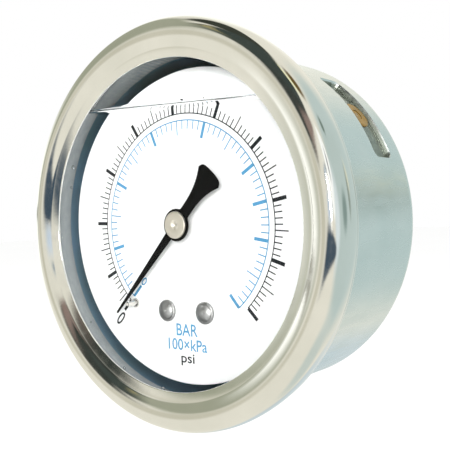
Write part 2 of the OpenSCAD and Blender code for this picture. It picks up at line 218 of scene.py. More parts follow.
def lathe(name, profile, material, body="gauge", steps=192, centre=(0, 0), sharp=40):
    """A turned piece, about the gauge's axis or one beside it."""
    def shifted(x, station, z):
        return point(x + centre[0], station, z + centre[1])
    verts, faces = lathe_mesh(profile, steps, shifted)
    return add_piece(name, verts, faces, material, body, sharp)


def join_meshes(parts):
    verts, faces = [], []
    for part_verts, part_faces in parts:
        base = len(verts)
        verts += part_verts
        faces += [tuple(base + i for i in f) for f in part_faces]
    return verts, faces


def prism_mesh(outline, front, back):
    """A closed outline of (x, z) between two stations."""
    count = len(outline)
    verts = [point(x, front, z) for x, z in outline]
    verts += [point(x, back, z) for x, z in outline]
    faces = [tuple(range(count)), tuple(range(2 * count - 1, count - 1, -1))]
    for i in range(count):
        j = (i + 1) % count
        faces.append((i, i + count, j + count, j))
    return verts, faces


def facing(mesh, outward):
    """The same closed mesh with its faces turned outward, or inward for a hollow."""
    verts, faces = mesh
    volume = 0
    for face in faces:
        for b, c in zip(face[1:], face[2:]):
            volume += verts[face[0]].dot(verts[b].cross(verts[c]))
    if (volume > 0) != outward:
        faces = [tuple(reversed(face)) for face in faces]
    return verts, faces


def flat_patch(outline, station):
    """One flat face facing the front."""
    return [point(x, station, z) for x, z in outline], [tuple(range(len(outline)))]


def bevel(obj, width):
    """Soft edges where faces meet at more than a slight angle."""
    mod = obj.modifiers.new("edges", "BEVEL")
    mod.width = width * MM
    mod.segments = 3
    mod.limit_method = "ANGLE"
    mod.angle_limit = radians(35)
    mod.harden_normals = False


# ---------------------------------------------------------------- materials

class Shader:
    """A node material with a Principled surface, built up one feature at a time."""

    def __init__(self, name, colour, roughness, metallic=0.0, **sockets):
        self.material = bpy.data.materials.new(name)
        self.material.use_nodes = True
        self.tree = self.material.node_tree
        self.surface = self.tree.nodes["Principled BSDF"]
        self.surface.inputs["Base Color"].default_value = (*colour, 1)
        self.surface.inputs["Roughness"].default_value = roughness
        self.surface.inputs["Metallic"].default_value = metallic
        for key, value in sockets.items():
            self.surface.inputs[key.replace("_", " ")].default_value = value

    def node(self, kind, **settings):
        made = self.tree.nodes.new(kind)
        for key, value in settings.items():
            setattr(made, key, value)
        return made

    def link(self, source, target):
        self.tree.links.new(source, target)

    def position(self, scale=(1, 1, 1)):
        """Object coordinates in millimetres, stretched by scale."""
        coords = self.node("ShaderNodeTexCoord")
        mapping = self.node("ShaderNodeMapping")
        mapping.inputs["Scale"].default_value = [1000 * s for s in scale]
        self.link(coords.outputs["Object"], mapping.inputs["Vector"])
        return mapping.outputs["Vector"]

    def noise(self, size, detail=4.0, stretch=(1, 1, 1), distortion=0.0):
        made = self.node("ShaderNodeTexNoise")
        made.inputs["Scale"].default_value = 1 / size
        made.inputs["Detail"].default_value = detail
        made.inputs["Distortion"].default_value = distortion
        self.link(self.position(stretch), made.inputs["Vector"])
        return made.outputs["Fac"]

    def ramp(self, value, low, high, to_low, to_high):
        made = self.node("ShaderNodeMapRange")
        made.inputs["From Min"].default_value = low
        made.inputs["From Max"].default_value = high
        made.inputs["To Min"].default_value = to_low
        made.inputs["To Max"].default_value = to_high
        self.link(value, made.inputs["Value"])
        return made.outputs["Result"]

    def vary_roughness(self, value, low, high):
        self.link(self.ramp(value, 0.3, 0.7, low, high), self.surface.inputs["Roughness"])
        return self

    def vary_colour(self, value, first, second):
        mix = self.node("ShaderNodeMix", data_type="RGBA")
        mix.inputs["A"].default_value = (*first, 1)
        mix.inputs["B"].default_value = (*second, 1)
        self.link(self.ramp(value, 0.3, 0.7, 0, 1), mix.inputs["Factor"])
        self.link(mix.outputs["Result"], self.surface.inputs["Base Color"])
        return self

    def bump(self, value, depth, strength=0.5):
        made = self.node("ShaderNodeBump")
        made.inputs["Strength"].default_value = strength
        made.inputs["Distance"].default_value = depth * MM
        self.link(value, made.inputs["Height"])
        self.link(made.outputs["Normal"], self.surface.inputs["Normal"])
        return self


UNDER_LIQUID = 0.01             # specular level of paint that has liquid, not air, in front of it


def polished_steel():
    """Rolled and buffed stainless steel with fine handling marks."""
    s = Shader("polished_steel", (0.80, 0.79, 0.76), 0.08, 1.0)
    s.vary_colour(s.noise(9), (0.80, 0.79, 0.76), (0.74, 0.735, 0.70))
    s.vary_roughness(s.noise(2.5, 8, distortion=0.6), 0.05, 0.13)
    s.bump(s.noise(0.35, 6), 0.004, 0.4)
    return s.material


def satin_steel():
    """Drawn stainless steel, with fine lines round the wall and soft stains."""
    s = Shader("satin_steel", (0.74, 0.78, 0.77), 0.28, 1.0)
    s.vary_colour(s.noise(7, 5), (0.77, 0.80, 0.79), (0.70, 0.75, 0.74))
    s.vary_roughness(s.noise(1.4, 6, (1, 0.2, 1)), 0.2, 0.34)
    s.bump(s.noise(0.25, 5, (0.15, 1, 0.15)), 0.003, 0.12)
    return s.material


def painted_wall_shade():
    """Inside of the steel case, seen through the liquid, coloured teal and slate-blue as painted shade and
    painted reflection on the wall.
    """
    s = Shader("painted_wall_shade", (0.14, 0.26, 0.32), 0.35, Specular_IOR_Level=UNDER_LIQUID)
    s.vary_colour(s.noise(12, 2), (0.13, 0.24, 0.28), (0.16, 0.28, 0.42))
    s.vary_roughness(s.noise(4, 3), 0.3, 0.4)
    return s.material


def plain_steel(name, colour, roughness):
    s = Shader(name, colour, roughness, 1.0)
    s.vary_roughness(s.noise(0.8, 5), roughness * 0.7, roughness * 1.3)
    s.bump(s.noise(0.2, 4), 0.003, 0.3)
    return s.material


def machined_brass(name, colour, roughness):
    s = Shader(name, colour, roughness, 1.0)
    darker = tuple(c * 0.8 for c in colour)
    s.vary_colour(s.noise(3.0, 6), colour, darker)
    s.vary_roughness(s.noise(0.6, 5), roughness * 0.75, roughness * 1.3)
    s.bump(s.noise(0.15, 3), 0.004, 0.3)
    return s.material


def rubber(name, first, second, roughness, **sockets):
    s = Shader(name, first, roughness, **sockets)
    s.vary_colour(s.noise(1.6, 5), first, second)
    s.vary_roughness(s.noise(0.9, 4), roughness * 0.85, roughness * 1.1)
    s.bump(s.noise(0.3, 4), 0.01, 0.3)
    return s.material


def dial_paint():
    s = Shader("dial_paint", (0.93, 0.93, 0.925), 0.5, Specular_IOR_Level=UNDER_LIQUID)
    s.vary_colour(s.noise(5, 3), (0.94, 0.94, 0.935), (0.915, 0.915, 0.915))
    s.bump(s.noise(0.4, 3), 0.002, 0.2)
    return s.material


def ink(name, colour):
    s = Shader(name, colour, 0.45, Specular_IOR_Level=UNDER_LIQUID)
    lighter = tuple(min(1, c * 1.15 + 0.01) for c in colour)
    s.vary_colour(s.noise(0.25, 3), colour, lighter)
    return s.material


def pointer_paint():
    s = Shader("pointer_paint", (0.004, 0.004, 0.004), 0.5, Specular_IOR_Level=UNDER_LIQUID)
    s.vary_roughness(s.noise(0.5, 4), 0.4, 0.6)
    s.bump(s.noise(0.2, 3), 0.003, 0.2)
    return s.material


def clear_filling():
    """Clear window and liquid; light reaches the dial straight through it."""
    s = Shader("clear_filling", (0.99, 1.0, 0.995), 0.0)
    s.surface.inputs["Transmission Weight"].default_value = 1.0
    s.surface.inputs["IOR"].default_value = 1.47
    s.surface.inputs["Specular Tint"].default_value = (0.05, 0.05, 0.05, 1)
    s.vary_roughness(s.noise(6, 3), 0.0, 0.004)
    clear = s.node("ShaderNodeBsdfTransparent")
    mix = s.node("ShaderNodeMixShader")
    path = s.node("ShaderNodeLightPath")
    out = s.tree.nodes["Material Output"]
    s.link(path.outputs["Is Shadow Ray"], mix.inputs["Fac"])
    s.link(s.surface.outputs["BSDF"], mix.inputs[1])
    s.link(clear.outputs["BSDF"], mix.inputs[2])
    s.link(mix.outputs["Shader"], out.inputs["Surface"])
    return s.material


MATERIALS = {
    "polished_steel": polished_steel(),
    "satin_steel": satin_steel(),
    "steel": plain_steel("steel", (0.62, 0.62, 0.61), 0.25),
    "nickel": plain_steel("nickel", (0.72, 0.70, 0.66), 0.2),
    "dull_nickel": plain_steel("dull_nickel", (0.33, 0.33, 0.325), 0.42),
    "cap_nickel": plain_steel("cap_nickel", (0.62, 0.575, 0.49), 0.4),
    "brass": machined_brass("brass", (0.78, 0.58, 0.28), 0.26),
    "bronze": machined_brass("bronze", (0.66, 0.43, 0.25), 0.32),
    "grey_rubber": rubber("grey_rubber", (0.22, 0.245, 0.255), (0.28, 0.305, 0.31), 0.45),
    # teal-blue inside wall of the case: painted shade and painted reflection
    "painted_wall_shade": painted_wall_shade(),
    # darker steel on the recess floor: painted shade in the recess
    "recess_painted_shade": plain_steel("recess_painted_shade", (0.33, 0.36, 0.31), 0.4),
    "black_rubber": rubber("black_rubber", (0.02, 0.02, 0.022), (0.035, 0.035, 0.035), 0.6),
    "amber_rubber": rubber("amber_rubber", (0.27, 0.15, 0.02), (0.17, 0.11, 0.03), 0.4),
    "dial_paint": dial_paint(),
    "black_ink": ink("black_ink", (0.012, 0.014, 0.016)),
    "blue_ink": ink("blue_ink", (0.075, 0.27, 0.47)),
    "pointer_paint": pointer_paint(),
    "clear_filling": clear_filling(),
}


# ---------------------------------------------------------------- bezel, window and case

def inner_roll():
    """The broad face of the roll, from the crease with the lip out to its crest."""
    run = CREST_R - CREASE_R
    slope = 2 * atan2(CREST_DROP, run)
    r = run / sin(slope)
    crest = LIP_FRONT - CREST_DROP
    angles = [slope * (1 - i / 16) for i in range(1, 16)]
    return [(CREST_R - r * sin(a), crest + r * (1 - cos(a))) for a in angles]


def outer_roll():
    """A quarter of an ellipse from the crest round to the bezel's widest point."""
    depth = ROLL_END - LIP_FRONT + CREST_DROP
    quarter = [pi / 2 * i / 20 for i in range(21)]
    return [(CREST_R + (BEZEL_R - CREST_R) * sin(a), ROLL_END - depth * cos(a)) for a in quarter]


def crowned_band():
    """The band behind the widest point, falling in slightly towards the rear curl."""
    length = BEZEL_BACK - CURL_R - ROLL_END
    return [(BEZEL_R - BAND_DROP * (i / 10) ** 2, ROLL_END + length * i / 10) for i in range(1, 10)]


def bezel_profile():
    """Lip, rolled front, crowned band and rear curl, then back along the inside of the sheet."""
    outline = arc((OPENING_R + 0.15, LIP_FRONT + LIP_SLOPE + 0.15), 0.15, 180, 260, 5)
    outline += [(CREASE_R - 0.6, LIP_FRONT + 0.08), (CREASE_R - 0.2, LIP_FRONT - 0.02)]
    outline += inner_roll()
    outline += outer_roll()
    outline += crowned_band()
    outline += arc((BEZEL_R - BAND_DROP - CURL_R, BEZEL_BACK - CURL_R), CURL_R, -12, 90, 10)
    outline += [(CASE_R + 0.55, BEZEL_BACK), (CASE_R + 0.4, BEZEL_BACK - 0.15)]
    outline += [(CASE_R + 0.4, BEZEL_BACK - 0.7), (CASE_R + 0.5, BEZEL_BACK - 0.8)]
    outline += [(32.7, 1.8), (32.7, 1.0), (33.2, 1.0), (33.2, -1.3), (32.6, -2.6), (31.65, -2.9)]
    outline += [(31.65, LIP_BACK), (OPENING_R + 0.1, LIP_BACK), (OPENING_R, LIP_BACK - 0.1)]
    return outline


def add_bezel():
    ring = lathe("bezel_ring", bezel_profile(), MATERIALS["polished_steel"],
                 steps=256, sharp=50)
    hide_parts("bezel")


def add_gasket():
    outline = rounded([(SKIRT_R, WINDOW_BACK), (WINDOW_R, WINDOW_BACK), (WINDOW_R, FLANGE_FRONT),
                       (CASE_R - SHEET, FLANGE_FRONT), (CASE_R - SHEET, SKIRT_END),
                       (SKIRT_R, SKIRT_END)], 0.15)
    ring = lathe("window_gasket_ring", outline, MATERIALS["grey_rubber"])
    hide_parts("window_gasket")


def case_outside(bearing, station, r):
    """Radius of the case's sheet with the pressed recess taken off it."""
    first, last = RECESS_BEARINGS
    front, back = RECESS_STATIONS
    middle = (front + back) / 2
    half = (back - front) / 2
    across = half - abs(station - middle)
    along = min(bearing - first, last - bearing) * pi / 180 * CASE_R
    wall = min(across, along)
    if max(across, along) < RECESS_CORNER:
        wall = RECESS_CORNER - hypot(RECESS_CORNER - across, RECESS_CORNER - along)
    t = max(0.0, min(1.0, wall / RECESS_EDGE + 0.5))
    return r - RECESS_DEPTH * t * t * (3 - 2 * t)


def case_stations():
    """Stations along the wall, close together at the edges of the recess."""
    front, back = RECESS_STATIONS
    coarse = [FLANGE_BACK + 0.75 * i for i in range(33)]
    near = [edge + 0.07 * k for edge in (front, back) for k in range(-16, 17)]
    inside = [front + (back - front) * i / 16 for i in range(1, 16)]
    end = CASE_BACK - CORNER_R
    return sorted({round(s, 3) for s in coarse + near + inside if FLANGE_BACK < s < end}) + [end]


def case_profile():
    """(radius, station, wall with the recess or not) along the outside, then the inside, of the sheet."""
    path = [(FLANGE_R, FLANGE_FRONT, False), (FLANGE_R, FLANGE_BACK, False)]
    path += [(CASE_R, s, True) for s in case_stations()]
    corner = (CASE_R - CORNER_R, CASE_BACK - CORNER_R)
    path += [(r, s, False) for r, s in arc(corner, CORNER_R, 0, 90, 12)[1:]]
    path += [(REAR_HOLE_R + 0.1, CASE_BACK, False), (REAR_HOLE_R, CASE_BACK - 0.1, False)]
    inside = [(REAR_HOLE_R, CASE_BACK - SHEET, False)]
    inside += [(r, s, False) for r, s in arc(corner, CORNER_R - SHEET, 90, 0, 8)]
    inside += [(CASE_R - SHEET, s, True) for s in reversed(case_stations()[:-1])]
    inside += [(CASE_R - SHEET, FLANGE_FRONT, False)]
    return path, inside


def case_bearings():
    """Bearings round the case, close together at the ends of the recess."""
    coarse = [1.25 * i for i in range(288)]
    near = [edge + 0.12 * k for edge in RECESS_BEARINGS for k in range(-18, 19)]
    return sorted({round(b, 3) for b in coarse + near})


def add_case():
    """The drawn case as one sheet, with its own material inside and in the recess: painted shade and
    painted reflection on the inside wall, darker steel as painted shade on the recess's floor.
    """
    outside, inside = case_profile()
    path = outside + inside
    bearings = case_bearings()
    count = len(path)
    verts = []
    for bearing in bearings:
        for r, station, wall in path:
            radius = case_outside(bearing, station, r) if wall else r
            x, z = polar(radius, bearing)
            verts.append(point(x, station, z))
    faces = []
    for i in range(len(bearings)):
        j = (i + 1) % len(bearings)
        for k in range(count):
            n = (k + 1) % count
            faces.append((i * count + k, i * count + n, j * count + n, j * count + k))
    shell = add_piece("case_shell", verts, faces, MATERIALS["satin_steel"], "gauge")
    shell.data.materials.append(MATERIALS["painted_wall_shade"])
    shell.data.materials.append(MATERIALS["recess_painted_shade"])
    recess = (CASE_R - RECESS_DEPTH * 0.3) * MM
    for i, face in enumerate(shell.data.polygons):
        centre = Vector((face.center.x, face.center.z))
        if len(outside) <= i % count < count - 1:
            # inside of the sheet: painted shade and painted reflection colour
            face.material_index = 1
        elif path[i % count][2] and centre.length < recess:
            # recess floor: darker steel as painted shade
            face.material_index = 2
    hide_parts("case")


def add_plug():
    """Rubber plug with a domed head, drawn about its own axis and turned to its bearing."""
    floor = CASE_R - RECESS_DEPTH
    top = floor + PLUG_HEAD_T
    outline = [(0.0, floor - 2.2), (PLUG_R - 0.2, floor - 2.2), (PLUG_R, floor - 2.0), (PLUG_R, floor)]
    outline += rounded([(PLUG_HEAD_R, floor), (PLUG_HEAD_R, top), (0.9, top)], 0.3)[4:]
    outline += [(0.7, top - 0.15), (0.0, top - 0.2)]
    turn = Matrix.Rotation(radians(PLUG_BEARING), 4, "Y")
    shift = Vector((0, (PLUG_STATION - STEM_END) * MM, 0))

    def placed(x, height, z):
        return turn @ Vector((x * MM, z * MM, height * MM)) + shift

    verts, faces = lathe_mesh(outline, 64, placed)
    plug = add_piece("relief_plug_rubber", verts, faces, MATERIALS["amber_rubber"], "plug")
    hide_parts("relief_plug")


# ---------------------------------------------------------------- window and liquid

def bubble_ring(inset, station):
    """Outline of the air space above the level, drawn in by inset, at one station."""
    r = SKIRT_R - inset
    level = LEVEL + inset
    half = degrees(acos(level / r))
    arc_points = [polar(r, -half + 2 * half * i / 48) for i in range(49)]
    edge = arc_points[-1][0]
    chord = [(edge - 2 * edge * i / 48, level) for i in range(1, 48)]
    turn = radians(LEVEL_TILT)
    ring = []
    for x, z in arc_points + chord:
        ring.append(point(x * cos(turn) + z * sin(turn), station, z * cos(turn) - x * sin(turn)))
    return ring


def bubble_mesh():
    """The air space between window and dial, with its edges rounded by the liquid's skin."""
    front, back = WINDOW_BACK, DIAL_FACE + 0.3
    rings = []
    for i in range(9):
        a = pi / 2 * i / 8
        rings.append(bubble_ring(MENISCUS_R * (1 - sin(a)), front + MENISCUS_R * (1 - cos(a))))
    rings.append(bubble_ring(0.0, back))
    count = len(rings[0])
    verts = [v for ring in rings for v in ring]
    faces = [tuple(range(count)), tuple(range(len(verts) - 1, len(verts) - count - 1, -1))]
    for k in range(len(rings) - 1):
        for i in range(count):
            j = (i + 1) % count
            faces.append((k * count + i, (k + 1) * count + i, (k + 1) * count + j, k * count + j))
    return verts, faces


def small_bubble(bearing, station, r):
    """A little round air bubble stuck to the gasket's skirt."""
    x, z = polar(SKIRT_R - r * 0.6, bearing)
    rows, columns = 8, 12
    verts = [point(x, station - r, z), point(x, station + r, z)]
    for i in range(1, rows):
        a = pi * i / rows
        for k in range(columns):
            b = 2 * pi * k / columns
            verts.append(point(x + r * sin(a) * cos(b), station - r * cos(a), z + r * sin(a) * sin(b)))
    faces = []
    for k in range(columns):
        n = (k + 1) % columns
        faces.append((0, 2 + k, 2 + n))
        faces.append((1, 2 + (rows - 2) * columns + n, 2 + (rows - 2) * columns + k))
        for i in range(rows - 2):
            low, high = 2 + i * columns, 2 + (i + 1) * columns
            faces.append((low + k, high + k, high + n, low + n))
    return verts, faces


def add_filling():
    """Window and liquid as one clear body, with the air space and bubbles as hollows in it."""
    liquid_r = CASE_R - SHEET + 0.04
    outline = [(0.0, LIP_BACK), (WINDOW_R - 0.15, LIP_BACK), (WINDOW_R, LIP_BACK + 0.15)]
    outline += [(WINDOW_R, WINDOW_BACK - 0.15), (WINDOW_R - 0.15, WINDOW_BACK)]
    outline += [(liquid_r, WINDOW_BACK), (liquid_r, LIQUID_BACK), (0.0, LIQUID_BACK)]
    body = facing(lathe_mesh(outline, 128), True)
    hollows = [bubble_mesh()] + [small_bubble(*b) for b in SMALL_BUBBLES]
    verts, faces = join_meshes([body] + [facing(h, False) for h in hollows])
    filling = add_piece("window_and_filling", verts, faces, MATERIALS["clear_filling"], "gauge",
                        sharp=30, hollow=True)
    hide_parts("window")


# ---------------------------------------------------------------- Bourdon tube

def tube_section(margin):
    """The flattened section of the Bourdon tube, a margin inside its outside."""
    r = TUBE_H / 2
    reach = (TUBE_W - TUBE_H) / 2
    rear = arc((TUBE_R, TUBE_STATION + reach), r - margin, 0, 180, 12)
    return rear + arc((TUBE_R, TUBE_STATION - reach), r - margin, 180, 360, 12)


def add_tube():
    """The hollow tube, swept from its top round to the tip."""
    walls = (tube_section(0), tube_section(TUBE_WALL))
    first, last = TUBE_BEARINGS
    count = len(walls[0])
    steps = 90
    verts = []
    for i in range(steps + 1):
        for r, station in walls[0] + walls[1]:
            x, z = polar(r, first + (last - first) * i / steps)
            verts.append(point(x, station, z))
    faces = []
    for k in range(count):
        n = (k + 1) % count
        for i in range(steps):
            low, high = 2 * count * i, 2 * count * (i + 1)
            faces.append((low + k, low + n, high + n, high + k))
            faces.append((low + count + n, low + count + k, high + count + k, high + count + n))
        for end in (0, 2 * count * steps):
            faces.append((end + k, end + n, end + count + n, end + count + k))
    tube = add_piece("bourdon_sweep", verts, faces, MATERIALS["bronze"], None)
    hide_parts("bourdon_tube")
    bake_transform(tube)


# ---------------------------------------------------------------- dial

def add_dial():
    outline = rounded([(DIAL_HOLE_R, DIAL_FACE), (DIAL_R, DIAL_FACE), (DIAL_R, DIAL_BACK),
                       (DIAL_HOLE_R, DIAL_BACK)], 0.12)
    disc = lathe("dial_disc", outline, MATERIALS["dial_paint"])
    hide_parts("dial")


def tick(bearing, r1, r2, width):
    """Outline of a radial mark of constant width."""
    a = radians(bearing)
    out = Vector((sin(a), cos(a)))
    side = Vector((cos(a), -sin(a))) * width / 2
    return [tuple(out * r1 - side), tuple(out * r2 - side), tuple(out * r2 + side), tuple(out * r1 + side)]


def ring_band(r, width, start, end, steps=180):
    """A drawn circle or arc as quads."""
    verts, faces = [], []
    for i in range(steps + 1):
        bearing = start + (end - start) * i / steps
        for radius in (r - width / 2, r + width / 2):
            x, z = polar(radius, bearing)
            verts.append(point(x, DIAL_FACE - PRINT_LIFT, z))
    for i in range(steps):
        faces.append((2 * i, 2 * i + 1, 2 * i + 3, 2 * i + 2))
    return verts, faces


def psi_bearing(psi):
    """Bearing on the outer scale, which ends at 1000 psi."""
    return PSI_END + (psi - 1000) * 0.28


def bar_bearing(bar):
    """Bearing on the inner scale, in bar."""
    return -144 + 4.0611 * bar


def black_marks():
    """Outer scale, 50 to 1000 psi in steps of 10, with a plain zero mark."""
    marks = [tick(ZERO, PSI_MARK_FROM, 21.4, 0.55)]
    for psi in range(50, 1001, 10):
        bearing = psi_bearing(psi)
        if psi % 100 == 0:
            marks.append(tick(bearing, PSI_MARK_FROM, 21.4, 0.62))
        elif psi % 50 == 0:
            marks.append(tick(bearing, PSI_MARK_FROM, 21.3, 0.21))
        else:
            marks.append(tick(bearing, PSI_MARK_FROM, 20.3, 0.21))
    return marks


def blue_marks():
    """Inner scale, 4 to 70 bar in steps of 1, with a plain zero mark."""
    marks = [tick(ZERO, 15.0, BAR_RING_R, 0.5)]
    thick = (10, 20, 30, 40, 50, 55, 60, 70)
    for bar in range(4, 71):
        bearing = bar_bearing(bar)
        if bar in thick:
            marks.append(tick(bearing, 15.0, BAR_RING_R, 0.55))
        elif bar % 5 == 0:
            marks.append(tick(bearing, 15.2, BAR_RING_R, 0.2))
        else:
            marks.append(tick(bearing, 16.2, BAR_RING_R, 0.2))
    return marks


def add_scale(name, marks, circle, ink_name):
    """One printed scale: its marks and the circle along them."""
    parts = [flat_patch(m, DIAL_FACE - PRINT_LIFT) for m in marks] + [circle]
    verts, faces = join_meshes(parts)
    add_piece(name, verts, faces, MATERIALS[ink_name], "gauge")


def add_label(name, text, size, width, centre, ink_name, bearing=0.0):
    """Printed characters, scaled to a cap height and a width."""
    curve = bpy.data.curves.new(name, "FONT")
    curve.body = text
    curve.align_x = "CENTER"
    curve.align_y = "CENTER"
    curve.resolution_u = 4
    curve.offset = 0.012
    obj = bpy.data.objects.new(name, curve)
    bpy.context.collection.objects.link(obj)
    bpy.context.view_layer.update()
    mesh = bpy.data.meshes.new_from_object(obj)
    bpy.data.objects.remove(obj)
    xs = [v.co.x for v in mesh.vertices]
    ys = [v.co.y for v in mesh.vertices]
    scale_x = width / (max(xs) - min(xs))
    scale_y = size / (max(ys) - min(ys))
    middle = Vector(((max(xs) + min(xs)) / 2, (max(ys) + min(ys)) / 2))
    turn = Matrix.Rotation(radians(-bearing), 2)
    verts = []
    for v in mesh.vertices:
        flat = turn @ Vector(((v.co.x - middle.x) * scale_x, (v.co.y - middle.y) * scale_y))
        verts.append(point(flat.x + centre[0], DIAL_FACE - PRINT_LIFT, flat.y + centre[1]))
    faces = [tuple(f.vertices) for f in mesh.polygons]
    bpy.data.meshes.remove(mesh)
    add_piece(name, verts, faces, MATERIALS[ink_name], "gauge")


def add_print():
    psi_ring = ring_band(PSI_RING_R, RING_WIDTH, ZERO, PSI_END)
    bar_ring = ring_band(BAR_RING_R, RING_WIDTH, ZERO, bar_bearing(70))
    add_scale("print_psi", black_marks(), psi_ring, "black_ink")
    add_scale("print_bar", blue_marks(), bar_ring, "blue_ink")
    add_label("label_bar", "BAR", 2.1, 4.8, (0, -17.95), "blue_ink")
    add_label("label_kpa", "100×kPa", 2.0, 8.7, (0, -20.5), "blue_ink")
    add_label("label_psi", "psi", 2.1, 3.0, (0, -23.05), "black_ink")
    add_label("label_zero", "0", 2.9, 1.25, polar(23.3, ZERO - 0.8), "black_ink", ZERO + 180)
    add_label("label_zero_bar", "0", 1.7, 1.0, polar(13.9, ZERO), "blue_ink", ZERO + 180)


def add_dial_screws():
    """The two domed screws, each with a small dimple at its centre."""
    outline = [(0.0, 5.02), (0.22, 4.92)]
    outline += arc((0.0, 8.2), 3.3, -84, -64, 8)
    outline += rounded([(1.5, 5.3), (1.87, 5.42), (1.87, DIAL_FACE), (0.95, DIAL_FACE), (0.95, 11.0),
                        (0.0, 11.0)], 0.08)
    parts = []
    for x in (-SCREW_X, SCREW_X):
        def shifted(px, station, pz, x=x):
            return point(px + x, station, pz + SCREW_Z)
        parts.append(lathe_mesh(outline, 64, shifted))
    verts, faces = join_meshes(parts)
    screws = add_piece("dial_screw_pair", verts, faces, MATERIALS["dull_nickel"], "gauge")
    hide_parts("dial_screws")


def add_stop_pin():
    """The pin that the pointer rests on at zero, with a rounded collar at its foot."""
    outline = [(0.0, 2.0), (0.3, 2.02), (0.42, 2.15), (0.42, 5.2)]
    outline += arc((0.0, 6.1), 0.95, -62, -6, 8)
    outline += [(0.42, DIAL_FACE), (0.42, DIAL_BACK), (0.0, DIAL_BACK)]
    pin = lathe("stop_pin_turned", outline, MATERIALS["nickel"], steps=48,
                centre=polar(STOP_PIN_R, STOP_PIN_BEARING))
    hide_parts("stop_pin")


# ---------------------------------------------------------------- pointer

def needle_outline():
    """Outline of ring, needle and counterweight with the needle along +Z."""
    side = [(0.2, NEEDLE_R - 0.3), (0.85 - 0.65 * 2.6 / NEEDLE_R, 2.6)]
    side += [polar(RING_R, b) for b in range(26, 157, 10)]
    flank = []
    for i in range(11):
        t = i / 10
        r = 2.95 + (COUNTER_R - 1.1 - 2.95) * t
        half = 1.03 + (r * sin(radians(14.8)) - 1.03) * t ** 1.6
        flank.append((half, -r))
    corner = ((0.62, 13.6), (0.28, 12.3), (0.06, 10.6))
    edge = [polar(COUNTER_R - inset, 180 - b) for inset, b in corner]
    edge += [polar(COUNTER_R, 180 - b) for b in (8.5, 6, 3)]
    right = [(0.0, NEEDLE_R)] + side + flank + edge
    left = [(-x, z) for x, z in reversed(right[1:])]
    return right + [(0.0, -COUNTER_R)] + left


def add_pointer():
    turn = radians(ZERO)
    turned = []
    for x, z in needle_outline():
        turned.append((x * cos(turn) + z * sin(turn), z * cos(turn) - x * sin(turn)))
    verts, faces = prism_mesh(turned, POINTER_FRONT, POINTER_BACK)
    needle = add_piece("pointer_needle", verts, faces, MATERIALS["pointer_paint"], "pointer")
    bevel(needle, 0.05)
    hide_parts("pointer")


def add_hub():
    """The cap over the pointer's ring, with a small point at its centre."""
    outline = [(0.0, 2.5), (0.12, 2.46), (0.55, 2.24)]
    outline += rounded([(0.8, 2.2), (2.3, 2.2), (2.3, POINTER_FRONT), (1.6, POINTER_FRONT), (1.6, 4.6),
                        (0.0, 4.6)], 0.15)[3:]
    hub = lathe("pointer_cap", outline, MATERIALS["cap_nickel"], "pointer", steps=96)
    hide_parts("pointer_hub")


# ---------------------------------------------------------------- carried-over CAD nodes

NODE_MATERIALS = {
    "brass": ("socket", "throttle_screw", "movement_front_plate", "movement_back_plate",
              "movement_pillars", "sector_gear", "link", "tube_tip", "hairspring_collet",
              "hairspring_stud"),
    "bronze": ("hairspring",),
    "steel": ("pinion_shaft", "sector_arbor", "sector_link_pin", "tip_link_pin", "pillar_screws",
              "movement_screws", "back_screws"),
    "black_rubber": ("stem_seal", "back_screw_seals"),
}


def dress_nodes():
    """Materials for the CAD nodes that are shown as they are."""
    for material, names in NODE_MATERIALS.items():
        for name in names:
            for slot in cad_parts[name].material_slots:
                slot.material = MATERIALS[material]


# ---------------------------------------------------------------- camera, floor and light

def add_camera():
    """The photo's viewpoint: bearing and rise in degrees, distance and sideways offset in mm."""
    bearing, rise, roll = radians(39.19), radians(0.51), radians(-2.19)
    distance = 114.96
    offset = (-8.67, -0.03)
    toward = Vector((sin(bearing) * cos(rise), -cos(bearing) * cos(rise), sin(rise)))
    right = (-toward).cross(Vector((0, 0, 1))).normalized()
    up = toward.cross(right)
    across = right * cos(roll) + up * sin(roll)
    upward = up * cos(roll) - right * sin(roll)
    place = toward * distance - across * offset[0] - upward * offset[1]
    data = bpy.data.cameras.new("camera")
    data.sensor_width = 36
    data.lens = 54.96
    data.clip_start = 0.005
    camera = bpy.data.objects.new("camera", data)
    axes = Matrix((across, upward, toward)).transposed().to_4x4()
    camera.matrix_world = Matrix.Translation(point(*place)) @ axes
    bpy.context.collection.objects.link(camera)
    bpy.context.scene.camera = camera


def add_floor():
    size = 3.0
    height = -0.075
    mesh = bpy.data.meshes.new("floor")
    mesh.from_pydata([(-size, -size, height), (size, -size, height), (size, size, height),
                      (-size, size, height)], [], [(0, 1, 2, 3)])
    floor = bpy.data.objects.new("floor", mesh)
    bpy.context.collection.objects.link(floor)
    s = Shader("floor_paint", (0.96, 0.96, 0.95), 0.8, Specular_IOR_Level=0.0)
    s.vary_colour(s.noise(300, 2), (0.985, 0.985, 0.98), (0.975, 0.975, 0.97))
    mesh.materials.append(s.material)
    floor.visible_glossy = False        # the metal mirrors the painted room instead


def add_area_light(name, bearing, rise, distance, size, power, mirrored):
    """A soft square light on a sphere round the dial, aimed at it, mirrored by metal or not."""
    data = bpy.data.lights.new(name, "AREA")
    data.size = size
    data.energy = power
    light = bpy.data.objects.new(name, data)
    b, e = radians(bearing), radians(rise)
    toward = Vector((sin(b) * cos(e), -cos(b) * cos(e), sin(e)))
    centre = Vector((0, -STEM_END * MM, 0))
    light.location = centre + toward * distance
    light.rotation_euler = (-toward).to_track_quat("-Z", "Y").to_euler()
    light.visible_glossy = mirrored
    bpy.context.collection.objects.link(light)


